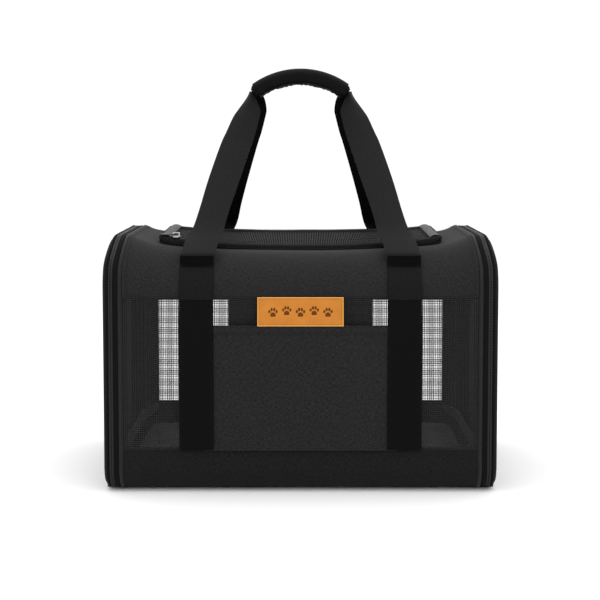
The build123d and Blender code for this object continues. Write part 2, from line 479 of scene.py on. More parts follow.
# thread spacings in millimetres, and how far each weave stands up
plainWeave = {"across": 0.62, "along": 0.62, "rough": 0.8, "bump": 0.5, "relief": 0.00012}
twillWeave = {"across": 1.1, "along": 1.4, "slant": 0.9, "rough": 0.7, "bump": 0.7,
              "relief": 0.0002}
tapeWeave = {"across": 0.8, "along": 0.9, "rough": 0.7, "bump": 0.6, "relief": 0.00015}
netThread = {"across": 0.4, "along": 0.6, "rough": 0.6, "bump": 0.4, "relief": 0.0001,
             "cloud": 0.2}
bodyCloth = clothMaterial("bodyCloth", plainWeave | {
    "dark": 0.005, "light": 0.027, "specular": 0.16, "sheen": 0.05})
bandCloth = clothMaterial("bandCloth", plainWeave | {
    "dark": 0.004, "light": 0.017, "specular": 0.12, "sheen": 0.02})
capCloth = clothMaterial("capCloth", plainWeave | {
    "dark": 0.0015, "light": 0.0075, "specular": 0.09, "sheen": 0.01})
lidCloth = clothMaterial("lidCloth", {
    "dark": 0.008, "light": 0.035, "across": 2.1, "along": 2.1, "specular": 0.12, "gap": 0.1,
    "rough": 0.75, "bump": 0.9, "relief": 0.0006, "sheen": 0.02})
patchWebbing = clothMaterial("patchWebbing", twillWeave | {
    "dark": 0.004, "light": 0.0105, "specular": 0.1, "sheen": 0.0})
webbingCloth = clothMaterial("webbingCloth", twillWeave | {
    "dark": 0.0045, "light": 0.0122, "rough": 0.62, "cloud": 0.25, "specular": 0.12,
    "sheen": 0.03})
# a near-black copy of the leg webbing for each leg's folded root: painted shade for the dark band
# where the leg leaves the shoulder
shadedWebbing = clothMaterial("shadedWebbing", twillWeave | {
    "dark": 0.003, "light": 0.007, "rough": 0.85, "cloud": 0.1, "specular": 0.05,
    "sheen": 0.0})
# darker webbing for the sewn straps and the grip straps; on the back legs, which are the same
# webbing as the front legs, this darker tone is painted shade
sewnAndShadedWebbing = clothMaterial("sewnAndShadedWebbing", twillWeave | {
    "dark": 0.0015, "light": 0.0045, "cloud": 0.15, "specular": 0.07, "sheen": 0.0})
bindingCloth = clothMaterial("bindingCloth", tapeWeave | {
    "dark": 0.003, "light": 0.009, "cloud": 0.1, "specular": 0.1})
ribbedTape = clothMaterial("ribbedTape", {
    "dark": 0.01, "light": 0.035, "across": 1.6, "along": 1.1, "specular": 0.15,
    "rough": 0.55, "bump": 0.9, "relief": 0.0003, "sheen": 0.2})
pipingCloth = clothMaterial("pipingCloth", {
    "dark": 0.008, "light": 0.022, "across": 0.9, "along": 1.2, "slant": 1.0, "rough": 0.6,
    "bump": 0.6, "relief": 0.00015, "cloud": 0.1, "specular": 0.15})
wrapCloth = clothMaterial("wrapCloth", {
    "dark": 0.0008, "light": 0.0025, "across": 0.5, "along": 0.5, "specular": 0.09,
    "rough": 0.55, "bump": 0.35, "relief": 0.0001, "cloud": 0.5, "sheen": 0.0})
netYarn = clothMaterial("netYarn", netThread | {"dark": 0.018, "light": 0.05, "specular": 0.12})
lidYarn = clothMaterial("lidYarn", netThread | {"dark": 0.010, "light": 0.040, "specular": 0.10})
# a pale binding tape for the sill's top edge: partly the tape's own lighter colour, partly painted
# light against the shade inside the doorway
innerTapeAndPaintedLight = clothMaterial("innerTapeAndPaintedLight", tapeWeave | {
    "dark": 0.025, "light": 0.075, "rough": 0.75, "cloud": 0.2, "specular": 0.15})
fleecePile = clothMaterial("fleecePile", {
    "dark": 0.028, "light": 0.085, "across": 2.3, "along": 1.9, "rough": 0.92, "bump": 0.9,
    "relief": 0.0007, "cloud": 0.5, "sheen": 0.35, "gap": 0.75})


# metal, moulding or thread, with a fine grain in its roughness and its surface
def hardMaterial(name, look):
    material, tree, shader = newMaterial(name)
    link = tree.links.new
    place = tree.nodes.new("ShaderNodeTexCoord")
    grain = placeGroup(tree, grainGroup, Scale=look["grain"])
    link(place.outputs["Object"], grain.inputs["Vector"])
    patch = grain.outputs["Patch"]
    link(mixNode(tree, patch, look["dark"], look["light"]), shader.inputs["Base Color"])
    rough = mathNode(tree, "MULTIPLY_ADD", patch, look["roughSpread"], look["rough"])
    link(rough, shader.inputs["Roughness"])
    shader.inputs["Metallic"].default_value = look.get("metal", 0.0)
    shader.inputs["Specular IOR Level"].default_value = look.get("specular", 0.4)
    addBump(tree, shader, grain.outputs["Height"], look["bump"], 0.0001)
    return material


nickel = hardMaterial("polishedNickel", {
    "dark": (0.34, 0.335, 0.325, 1), "light": (0.55, 0.545, 0.53, 1), "metal": 1.0,
    "rough": 0.2, "roughSpread": 0.16, "grain": 1500.0, "bump": 0.04})
blackEnamel = hardMaterial("blackEnamel", {
    "dark": grey(0.006), "light": grey(0.014),
    "rough": 0.25, "roughSpread": 0.2, "grain": 1500.0, "bump": 0.05})
coilNylon = hardMaterial("coilNylon", {
    "dark": grey(0.004), "light": grey(0.011),
    "rough": 0.34, "roughSpread": 0.15, "grain": 1800.0, "bump": 0.1})
blackThread = hardMaterial("blackThread", {
    "dark": grey(0.003), "light": grey(0.011), "specular": 0.15,
    "rough": 0.65, "roughSpread": 0.2, "grain": 2500.0, "bump": 0.3})
brownThread = hardMaterial("brownThread", {
    "dark": (0.30, 0.11, 0.02, 1), "light": (0.42, 0.17, 0.04, 1),
    "rough": 0.55, "roughSpread": 0.2, "grain": 2500.0, "bump": 0.3})
pressedBrown = hardMaterial("pressedBrown", {
    "dark": (0.09, 0.022, 0.003, 1), "light": (0.15, 0.042, 0.006, 1), "specular": 0.1,
    "rough": 0.6, "roughSpread": 0.2, "grain": 1400.0, "bump": 0.3})
stiffBoard = hardMaterial("stiffBoard", {
    "dark": grey(0.018), "light": grey(0.035),
    "rough": 0.7, "roughSpread": 0.15, "grain": 700.0, "bump": 0.3})


# tan leather, paler along its worn edges
def makeLeather():
    material, tree, shader = newMaterial("tanLeather")
    link = tree.links.new
    place = tree.nodes.new("ShaderNodeTexCoord")
    grain = placeGroup(tree, grainGroup, Scale=1100.0)
    link(place.outputs["Object"], grain.inputs["Vector"])
    patch = grain.outputs["Patch"]
    tint = mixNode(tree, patch, (0.415, 0.136, 0.0115, 1), (0.56, 0.21, 0.0265, 1))
    wear = tree.nodes.new("ShaderNodeVertexColor")
    wear.layer_name = "edgeWear"
    worn = mixNode(tree, wear.outputs["Color"], tint, (0.74, 0.37, 0.09, 1))
    link(worn, shader.inputs["Base Color"])
    rough = mathNode(tree, "MULTIPLY_ADD", patch, 0.2, 0.42)
    link(rough, shader.inputs["Roughness"])
    shader.inputs["Specular IOR Level"].default_value = 0.2
    addBump(tree, shader, grain.outputs["Height"], 0.25, 0.00015)
    return material


tanLeather = makeLeather()
print("materials made")


# even steps along a run of points, each with its place and direction
def walkRun(run, pitch):
    run = [Vector(p) for p in run]
    walked, goal = 0.0, pitch / 2
    for first, last in zip(run, run[1:]):
        length = (last - first).length
        if length < 1e-6:
            continue
        direction = (last - first) / length
        while goal <= walked + length:
            yield first + direction * (goal - walked), direction
            goal += pitch
        walked += length


# one mesh of many copies of the primitive just added, each with its own place and turn
def strewn(name, shaped, spots):
    pattern = bpy.context.active_object
    base = [Vector(shaped(vertex.co)) for vertex in pattern.data.vertices]
    faces = [tuple(face.vertices) for face in pattern.data.polygons]
    bpy.data.objects.remove(pattern)
    points, polygons = [], []
    for centre, turn in spots:
        offset = len(points)
        points += [centre + turn @ co for co in base]
        polygons += [tuple(offset + i for i in face) for face in faces]
    mesh = bpy.data.meshes.new(name)
    mesh.from_pydata(points, [], polygons)
    obj = bpy.data.objects.new(name, mesh)
    bpy.context.scene.collection.objects.link(obj)
    return obj


# stitches end to end along each run of points, all in one piece
def sewLine(name, runs, body, material=blackThread, slot="polyester", pitch=3.4, long=2.3,
            thick=0.55):
    deselectAll()
    bpy.ops.mesh.primitive_ico_sphere_add(subdivisions=1, radius=0.5)
    spots = [(centre, direction.to_track_quat("X", "Z").to_matrix())
             for run in runs for centre, direction in walkRun(run, pitch)]
    obj = strewn(name, lambda co: (co.x * long, co.y * thick, co.z * thick), spots)
    return finishPiece(obj, body, material, slot, smooth=60)


tooth = {"share": 0.62, "taper": 0.8}      # of the pitch, and how much a tooth slims to its top


# zipper teeth: short bars across each run
def coilRow(name, run, sideways, body, pitch=1.7, across=2.0, thick=1.0):
    deselectAll()
    bpy.ops.mesh.primitive_cube_add(size=1)
    side = Vector(sideways)
    spots = [(centre, Matrix((direction, side, direction.cross(side).normalized())).transposed())
             for centre, direction in walkRun(run, pitch)]

    def shaped(co):
        slim = tooth["taper"] if co.z > 0 else 1.0
        return co.x * pitch * tooth["share"] * slim, co.y * across * slim, co.z * thick

    obj = strewn(name, shaped, spots)
    editAll(obj, outward())
    return finishPiece(obj, body, coilNylon, "zipper", smooth=30)


lowerBand = {"thick": 2.2, "columns": 60, "rows": 18, "floorThick": 2.4, "seamBelow": 2.6}


# up the front of the lower band, from the edge of the base to the window
def bandPoint(u, v):
    x = mix(-bag["panelEnd"], bag["panelEnd"], u)
    corner, half = bag["corner"], bag["halfDepth"]
    arc = corner * math.pi / 2
    wall = bag["windowLow"] - corner
    s = v * (arc + wall)
    inset = 0.2 + 0.35 * (noise.noise(Vector((x * 0.012, s * 0.03, 3.1))) + 1)
    if s < arc:
        a = s / corner
        y = -(half - corner) - (corner - inset) * math.sin(a)
        z = corner - (corner - inset) * math.cos(a)
    else:
        y, z = -half + inset, corner + s - arc
    return x, y, z


def makeLowerBands():
    size = (2 * bag["panelEnd"], 60.0)
    front = gridPiece("frontLowerBand", lowerBand["columns"], lowerBand["rows"], bandPoint, size)
    thicken(front, lowerBand["thick"], offset=-1.0, soft=0.5)
    back = mirrored(front, "backLowerBand", axis=(0, 1, 0))
    finishPiece(front, "root", bandCloth, "polyester", ["front_lower_band"])
    finishPiece(back, "root", bandCloth, "polyester", ["back_lower_band"])
    flat = bag["halfDepth"] - bag["corner"]

    def floorPoint(u, v):
        x = mix(-bag["panelEnd"], bag["panelEnd"], u)
        y = mix(-flat, flat, v)
        return x, y, 0.25 + 0.2 * noise.noise(Vector((x * 0.02, y * 0.02, 0)))

    base = gridPiece("floorPanel", 50, 30, floorPoint, (2 * bag["panelEnd"], 2 * flat))
    addModifier(base, "SOLIDIFY", thickness=lowerBand["floorThick"], offset=1.0)
    finishPiece(base, "root", bandCloth, "polyester", ["floor_panel"])
    seam = bag["windowLow"] - lowerBand["seamBelow"]
    y = bag["halfDepth"] + 0.1
    ends = bag["panelEnd"] - 3
    sewLine("lowerBandStitches", [[(-ends, side * y, seam), (ends, side * y, seam)]
                                  for side in (-1, 1)], "root")


makeLowerBands()
print("base and lower bands made")


topCloth = {"columns": 96, "rows": 84, "thick": 2.2, "length": 420.0,
            "opening": (150.0, 62.0), "round": 9.0, "stitchHigh": 0.45}


# over the bag from the front window's top edge to the back window's
def topPoint(u, v, lift=0.0):
    x = mix(-bag["panelEnd"], bag["panelEnd"], u)
    half, seam = bag["halfDepth"], bag["windowHigh"]
    side = -1.0 if v <= 0.5 else 1.0
    s = (v if v <= 0.5 else 1 - v) * 2
    edge = topHeight(x, side * 84)
    radius = min(bag["shoulder"], edge - seam - 1.0)
    wallShare, turnShare = 0.06, 0.56
    if s < wallShare:
        y, z = half, mix(seam, edge - radius, s / wallShare)
    elif s < turnShare:
        a = (s - wallShare) / (turnShare - wallShare) * math.pi / 2
        y, z = half - radius * (1 - math.cos(a)), edge - radius * (1 - math.sin(a))
    else:
        y = mix(half - radius, 0, (s - turnShare) / (1 - turnShare))
        z = topHeight(x, side * y)
    y *= side
    soft = noise.noise(Vector((x * 0.011, y * 0.014, z * 0.016))) * 0.9
    soft *= smoothStep((z - seam) / 25) * (1 - smoothStep((abs(x) - 175) / 20))
    slope = Vector((y, z - 150)).normalized()
    reach = soft + lift
    return x, y + slope.x * reach, z + slope.y * reach


def makeTopCloth():
    size = (2 * bag["panelEnd"], topCloth["length"])
    cloth = gridPiece("topCloth", topCloth["columns"], topCloth["rows"], topPoint, size)
    thicken(cloth, topCloth["thick"], offset=-1.0)
    wide, deep = topCloth["opening"]
    deselectAll()
    bpy.ops.mesh.primitive_cube_add(size=1, location=(0, 0, bag["middleTop"]))
    cutter = bpy.context.active_object
    cutter.scale = (2 * wide, 2 * deep, 60)
    bpy.ops.object.transform_apply(scale=True)
    addModifier(cutter, "BEVEL", width=topCloth["round"], segments=5)
    applyModifiers(cutter)
    addModifier(cloth, "BOOLEAN", operation="DIFFERENCE", object=cutter, solver="EXACT")
    applyModifiers(cloth)
    bpy.data.objects.remove(cutter)
    finishPiece(cloth, "root", bodyCloth, "polyester", ["top_panel"])
    steps, high = 60, topCloth["stitchHigh"]
    hem = 2.8 / topCloth["length"] + 0.006
    runs = [sampled(lambda t: topPoint(mix(0.01, 0.99, t), v, lift=high), steps)
            for v in (hem, 1 - hem)]
    runs += [sampled(lambda t: topPoint(u, t, lift=high), steps) for u in (0.012, 0.988)]
    sewLine("topStitches", runs, "root")


makeTopCloth()
print("top cloth made")


net = {"pitch": 2.1, "yarn": 0.54, "belly": 1.2}


# square-meshed net. Flat yarns along and across, each put on its surface by place
def netPiece(name, wide, tall, place, cutsWide=1, cutsTall=1, ribbed=1.0, wider=1.0):
    yarn = net["yarn"]
    parts = []
    for long, short, cuts, turned in ((tall, wide, cutsTall, False), (wide, tall, cutsWide, True)):
        pitch = net["pitch"] * (ribbed if turned else 1.0)
        count = int(short / pitch)
        deselectAll()
        bpy.ops.mesh.primitive_cube_add(size=1)
        strand = bpy.context.active_object
        strand.scale = (yarn if turned else yarn * wider, long, yarn)
        bpy.ops.object.transform_apply(scale=True)
        if cuts > 1:
            bpy.ops.object.mode_set(mode="EDIT")
            for i in range(1, cuts):
                bpy.ops.mesh.select_all(action="SELECT")
                bpy.ops.mesh.bisect(plane_co=(0, long * (i / cuts - 0.5), 0), plane_no=(0, 1, 0))
            bpy.ops.object.mode_set(mode="OBJECT")
        strand.location.x = -(count - 1) * pitch / 2
        strand.location.z = yarn * (0.3 if turned else -0.3)
        bpy.ops.object.transform_apply(location=True)
        addModifier(strand, "ARRAY", count=count, use_relative_offset=False,
                    use_constant_offset=True, constant_offset_displace=(pitch, 0, 0))
        applyModifiers(strand)
        if turned:
            for vertex in strand.data.vertices:
                vertex.co = Vector((-vertex.co.y, vertex.co.x, vertex.co.z))
        parts.append(strand)
    obj = joinPieces(parts, name)
    mapUv(obj, lambda co: (co.x, co.y))
    for vertex in obj.data.vertices:
        vertex.co = Vector(place(vertex.co.x, vertex.co.y, vertex.co.z))
    return obj


def makeWindowNets():
    wide = 2 * bag["panelEnd"] - 1
    tall = bag["windowHigh"] - bag["windowLow"] + 6
    middle = (bag["windowHigh"] + bag["windowLow"]) / 2
    face = bag["halfDepth"] - 1.2
    for name, side, node in (("frontNet", -1, "front_mesh"), ("backNet", 1, "back_mesh")):
        def place(a, b, c):
            belly = net["belly"] * (1 - (a / wide * 2) ** 2) * (1 - (b / tall * 2) ** 2)
            return a, side * (face + c - belly), middle + b
        obj = netPiece(name, wide, tall, place, cutsWide=12, cutsTall=8)
        if side > 0:
            obj.data.flip_normals()
        editAll(obj, outward())
        finishPiece(obj, "root", netYarn, "mesh_net", [node])


makeWindowNets()
print("window nets made")


binding = {"thick": 1.1, "frontEnd": 5.0, "backEnd": 12.0}


# A soft-edged bar between two corners
def bar(name, low, high, soft=0.4):
    deselectAll()
    low, high = Vector(low), Vector(high)
    bpy.ops.mesh.primitive_cube_add(size=1, location=(low + high) / 2)
    obj = bpy.context.active_object
    obj.name = obj.data.name = name
    obj.scale = high - low
    bpy.ops.object.transform_apply(location=True, scale=True)
    mapUv(obj, lambda co: (co.x, co.z))
    addModifier(obj, "BEVEL", width=soft, segments=2)
    applyModifiers(obj)
    return obj


def makeBindings():
    inside = bag["halfDepth"] - 1.9
    low, high = bag["windowLow"], bag["windowHigh"]
    end = bag["panelEnd"]
    for name, side, node in (("frontBinding", -1, "front_binding"),
                             ("backBinding", 1, "back_binding")):
        y = sorted((side * inside, side * (inside - binding["thick"])))
        wide = binding["frontEnd"] if side < 0 else binding["backEnd"]
        bars = [
            bar("b", (-end, y[0], low - 3), (end, y[1], low + 2.5)),
            bar("b", (-end, y[0], high - 2.5), (end, y[1], high + 1)),
            bar("b", (-end, y[0], low), (-end + wide, y[1], high)),
            bar("b", (end - wide, y[0], low), (end, y[1], high)),
        ]
        obj = joinPieces(bars, name)
        finishPiece(obj, "root", bindingCloth, "binding_tape", [node])


makeBindings()
print("window bindings made")


pocket = {"half": 108.0, "backHalf": 95.0, "top": cadBox("front_pocket")[1].z, "bow": 3.2,
          "off": 1.6, "thick": 1.5, "hemThick": 1.0}


def makePocket(name, half, high, side, node):
    low = bag["windowLow"] - 1.0

    def place(u, v):
        x = mix(-half, half, u)
        z = mix(low, high, v)
        bow = pocket["bow"] * (1 - (2 * u - 1) ** 2) ** 0.8 * smoothStep(v * 1.15)
        ripple = 0.5 * noise.noise(Vector((x * 0.018, z * 0.02, 7 * side)))
        return x, side * (bag["halfDepth"] + pocket["off"] + bow + ripple), z

    panel = gridPiece(name, 60, 44, place, (2 * half, high - low))
    thicken(panel, pocket["thick"])

    def hemPoint(u, v):
        x, y, z = place(u, 1 - v * 0.07)
        return x, y + side * 1.1, z + 0.4

    hem = thicken(gridPiece(name + "Hem", 60, 4, hemPoint, (2 * half, 10.0)), pocket["hemThick"])
    panel = joinPieces([panel, hem], name)
    addModifier(panel, "BEVEL", width=0.35, segments=2, limit_method="ANGLE")
    finishPiece(panel, "root", bodyCloth, "polyester", [node])

    def seamPoint(u, v):
        x, y, z = place(u, v)
        return x, y + side * 1.75, z

    runs = [sampled(lambda t: seamPoint(t, v), 50) for v in (0.992, 0.945)]
    sewLine(name + "Stitches", runs, "root")


makePocket("frontPocket", pocket["half"], pocket["top"], -1, "front_pocket")
makePocket("backPocket", pocket["backHalf"], bag["windowHigh"] - 1, 1, "back_pocket")
print("pockets made")


strapTop = cadBox("right_front_strap")[1].z
strap = {"x": 115.6, "wide": 38.0, "thick": 1.6, "top": strapTop, "patchThick": 0.8,
         "boxLow": strapTop - 36.0, "boxHigh": strapTop - 4.0}


# points (y, z) up the shoulder between two heights, off the cloth by off
def shoulderPath(low, high, off, steps):
    edge = bag["middleTop"] - 2.0
    radius = bag["shoulder"] + off
    centreZ = edge - bag["shoulder"]
    centreY = -(bag["halfDepth"] - bag["shoulder"])
    points = []
    for i in range(steps + 1):
        z = mix(low, high, i / steps)
        a = math.asin(min(max((z - centreZ) / radius, 0), 1))
        points.append((centreY - radius * math.cos(a), z))
    return points


# flat webbing whose middle follows points (y, z) at one x, with rounded selvedges
def ribbonAlong(name, path, x, wide, thick):
    lengths = [0.0]
    for a, b in zip(path, path[1:]):
        lengths.append(lengths[-1] + math.dist(a, b))

    def at(v):
        want = v * lengths[-1]
        for i in range(len(path) - 1):
            if lengths[i + 1] >= want:
                share = (want - lengths[i]) / (lengths[i + 1] - lengths[i])
                return [mix(a, b, share) for a, b in zip(path[i], path[i + 1])]
        return path[-1]

    def place(u, v):
        y, z = at(v)
        return x + (u - 0.5) * wide, y, z

    obj = gridPiece(name, 14, len(path) * 3, place, (wide, lengths[-1]))
    return thicken(obj, thick, soft=0.55)


# turns a piece made for the front round to the back
def toBack(obj):
    for vertex in obj.data.vertices:
        vertex.co.y = -vertex.co.y
    obj.data.flip_normals()
    return obj


def makeSewnStraps():
    y = -(bag["halfDepth"] + pocket["off"] + 2.6)
    rise = [(y, bag["windowLow"] + 0.5), (y, 90), (y, 140), (y, pocket["top"])]
    rise += [(y + 0.5, pocket["top"] + 11), (y + 1.4, pocket["top"] + 21)]
    shoulder = shoulderPath(strap["boxLow"] + 2, strap["top"] + 3, 2.0, 14)
    layer = shoulderPath(strap["boxLow"] - 1.5, strap["boxHigh"] + 1.5, 3.1, 12)
    wide, thick = strap["wide"], strap["thick"]
    front = ribbonAlong("rightFrontStrap", rise + shoulder, strap["x"], wide, thick)
    back = toBack(ribbonAlong("rightBackStrap", shoulder, strap["x"], wide, thick))
    finishPair(front, "root", sewnAndShadedWebbing, "webbing", ["front_strap"])
    finishPair(back, "root", sewnAndShadedWebbing, "webbing", ["back_strap"])
    patch = ribbonAlong("rightFrontPatch", layer, strap["x"], wide - 0.3, strap["patchThick"])
    rear = toBack(ribbonAlong("rightBackPatch", layer, strap["x"], wide - 0.3,
                              strap["patchThick"]))
    for obj in (patch, rear):
        finishPair(obj, "root", patchWebbing, "webbing")
    sewStraps(rise)


# rows down both edges of the front webbing, and a crossed box where the legs begin
def sewStraps(rise):
    inner = strap["wide"] / 2 - 2.4
    box = shoulderPath(strap["boxLow"], strap["boxHigh"], 3.5, 10)
    runs, boxes = [], []
    for side in (-1, 1):
        for edge in (-inner, inner):
            x = side * (strap["x"] + edge)
            runs.append([(x, y - 0.95, z) for y, z in rise[:6]])
        for turn in (-1, 1):
            for edge in (-inner, inner):
                x = side * (strap["x"] + edge)
                boxes.append([(x, -turn * y, z) for y, z in box])
            for y, z in (box[0], box[-1]):
                x = side * strap["x"]
                boxes.append([(x - inner, -turn * y, z), (x + inner, -turn * y, z)])
            for slant in (-1, 1):
                boxes.append([(side * strap["x"] + slant * mix(-inner, inner, i / 10), -turn * y, z)
                              for i, (y, z) in enumerate(box)])
    sewLine("strapStitches", runs, "root", slot="webbing")
    sewLine("boxStitches", boxes, "root", slot="webbing", pitch=3.0, thick=0.65)


makeSewnStraps()
print("sewn webbing made")


handle = {
    "top": cadBox("handle_wrap")[1].z,
    "outer": 98.0,
    "angle": math.radians(38.0),
    "thick": 18.0,
    "deep": 26.0,
    "drop": 100.0,
    "legFoot": cadBox("right_front_leg")[0].z,
    "wrapThick": 2.2,
    "flapThick": 1.1,
    "curl": 6.5,          # how far the webbing's edges turn away where it is folded narrow
}
arcCentreZ = handle["top"] - handle["outer"]
arcMiddle = handle["outer"] - handle["thick"] / 2
legHeadZ = arcCentreZ + arcMiddle * math.cos(handle["angle"])
legKeep = 1 - handle["drop"] / (legHeadZ - handle["legFoot"])
legSquash = {"joint": "handle_drop", "axis": (0, 0, 1),
             "anchor": (0, 0, handle["legFoot"] * toMetres), "keep": legKeep}

footZ = handle["legFoot"]
# middle of the free webbing from the shoulder up to the grip: x, y, z and how wide it looks
frontStations = [
    (115.4, -124.5, footZ + 10.8, 38.0),
    (115.3, -131.3, footZ + 9.6, 38.0),
    (113.4, -130.5, footZ + 13.0, 37.4),
    (110.8, -117.0, footZ + 23.0, 37.6),
    (104.6, -99.0, footZ + 36.5, 35.4),
    (98.4, -82.0, footZ + 58.0, 34.4),
    (88.6, -58.0, footZ + 91.6, 36.2),
    (76.0, -33.0, footZ + 131.0, 36.0),
    (70.0, -25.0, footZ + 146.8, 34.5),
    (64.3, -17.5, footZ + 163.7, 31.0),
    (61.0, -13.5, footZ + 172.5, 26.0),
    (59.4, -10.0, footZ + 183.0, 14.0),
    (58.6, -8.0, footZ + 190.0, 7.0),
    (57.4, -7.0, legHeadZ + 1.5, 6.0),
]
backInset = (0, 0, -2.0, -6.5, -7.5, -7.0, -6.0, -5.5, -5.5, -5.5, -5.0, -6.0, -6.0, -4.5)
backWider = (0, 0, 0, 0, 0, 0, 0, 0, 0, 1, 4, 8, 8, 5)
backStations = [(x + shift, -y, z, wide + more) for (x, y, z, wide), shift, more
                in zip(frontStations, backInset, backWider)]
# the leg's folded root at the shoulder, which wears the near-black webbing as painted shade under
# the leg
rootStations = [
    (115.6, -128.6, footZ - 6.5, 37.6),
    (115.6, -128.0, footZ, 37.6),
    (115.5, -128.8, footZ + 5.0, 37.6),
    (115.4, -129.6, footZ + 10.5, 37.6),
]


# smooth passage through the stations, for t in 0..1
def stationAt(stations, t):
    last = len(stations) - 1
    i = min(int(t * last), last - 1)
    f = t * last - i
    rows = [stations[min(max(i + k, 0), last)] for k in (-1, 0, 1, 2)]
    values = []
    for a, b, c, d in zip(*rows):
        square = 2 * a - 5 * b + 4 * c - d
        cube = 3 * (b - c) + d - a
        values.append(b + 0.5 * f * (c - a + f * (square + f * cube)))
    return Vector(values[:3]), values[3]


# free webbing through its stations, with its edges curling away where it narrows
def webbingPiece(name, stations, rows):
    rear = -1 if stations[0][1] > 0 else 1

    def place(u, v):
        centre, wide = stationAt(stations, v)
        s = 2 * u - 1
        curl = math.sqrt(max(1 - (wide / strap["wide"]) ** 2, 0.0))
        outer = 1.3 if s > 0 else 0.8
        depth = handle["curl"] * curl * outer * abs(s) ** 1.7
        wave = 0.8 * noise.noise(Vector((u * 1.3, v * 5.0, 1.7 * rear))) * smoothStep(v / 0.2)
        return centre + Vector((s * wide / 2, rear * (depth - wave), 0))

    obj = gridPiece(name, 20, rows, place, (strap["wide"], 240.0))
    return thicken(obj, strap["thick"], soft=0.55, sharper=50)


def makeLegs():
    # the back legs take the darker webbing as painted shade, because their inner face is seen in
    # shadow
    for end, stations, material in (("Front", frontStations, webbingCloth),
                                    ("Back", backStations, sewnAndShadedWebbing)):
        leg = webbingPiece("right" + end + "Leg", stations, 130)
        finishPair(leg, "root", material, "webbing", [end.lower() + "_leg"], squashed=legSquash)
        side = 1 if end == "Front" else -1
        foot = [(x, side * y, z, wide) for x, y, z, wide in rootStations]
        # the root takes the near-black webbing: painted shade under the leg's foot
        legRoot = webbingPiece("right" + end + "LegRoot", foot, 12)
        finishPair(legRoot, "root", shadedWebbing, "webbing", squashed=legSquash)


# point on a round-cornered tube that follows the grip's arc
def gripArc(around, along, deep, thick, shape=0.75):
    a = mix(-handle["angle"], handle["angle"], along)
    turn = around * 2 * math.pi
    c, s = math.cos(turn), math.sin(turn)
    y = deep / 2 * math.copysign(abs(c) ** shape, c)
    r = arcMiddle + thick / 2 * math.copysign(abs(s) ** shape, s)
    return r * math.sin(a), y, arcCentreZ + r * math.cos(a), a


def wrapPoint(u, v):
    lip = smoothStep(min(v, 1 - v) / 0.03)
    shrink = 3.0 * (1 - lip) ** 2
    x, y, z, a = gripArc(u, v, handle["deep"] - shrink, handle["thick"] - shrink)
    under = max(-math.sin(u * 2 * math.pi), 0)
    ragged = under**3 * 1.3 * noise.noise(Vector((v * 30, 2.2, u * 3)))
    pucker = 0.8 * noise.noise(Vector((x * 0.09, y * 0.11, z * 0.05)))
    swell = (ragged + pucker) * lip - 0.4
    return x + swell * math.sin(a), y * (1 + 0.012 * pucker), z + swell * math.cos(a)


def makeHandle():
    wrap = gridPiece("handleWrap", 44, 120, wrapPoint, (76.0, 126.0), closed=True)
    thicken(wrap, handle["wrapThick"], offset=-1.0)

    # the flap that laps over the front of the grip, down to a seam one third below its top
    def flapPoint(u, v):
        x, y, z, a = gripArc(mix(0.03, 0.60, u), mix(0.03, 0.97, v),
                             handle["deep"] + 1.2, handle["thick"] + 1.2)
        ripple = 0.4 * noise.noise(Vector((v * 14, u * 4, 9)))
        return x, y - ripple, z

    flap = gridPiece("wrapFlap", 26, 90, flapPoint, (44.0, 120.0))
    thicken(flap, handle["flapThick"], soft=0.4)
    wrap = joinPieces([wrap, flap], "handleWrap")
    finishPiece(wrap, "handle", wrapCloth, "wrap", ["handle_wrap"])
    for name, side, node in (("frontGripStrap", -1, "front_grip_strap"),
                             ("backGripStrap", 1, "back_grip_strap")):
        def place(u, v, side=side):
            x, y, z, a = gripArc(u, mix(-0.01, 1.01, v), 4.0, 12.4, shape=0.5)
            return x, y + side * 2.5, z

        obj = gridPiece(name, 20, 60, place, (30.0, 120.0), closed=True)
        closeEnds(obj)
        editAll(obj, outward())
        finishPiece(obj, "handle", sewnAndShadedWebbing, "webbing", [node])

    def seamPoint(at, t):
        return gripArc(at, mix(0.03, 0.97, t), handle["deep"] + 2.8, handle["thick"] + 2.6)[:3]

    runs = [sampled(lambda t: seamPoint(at, t), 60) for at in (0.505, 0.545)]
    sewLine("wrapStitches", runs, "handle", slot="wrap", pitch=3.0)


makeLegs()
makeHandle()
print("handle made")


zipRun = (0.1, 0.9)         # shares of the end outline between which the door's zipper runs
teeth = {"root": 209.9, "door": 212.5, "inset": 1.3}
hingeTape = {"from": 207.0, "to": 219.9, "thick": 0.8, "high": 0.5}


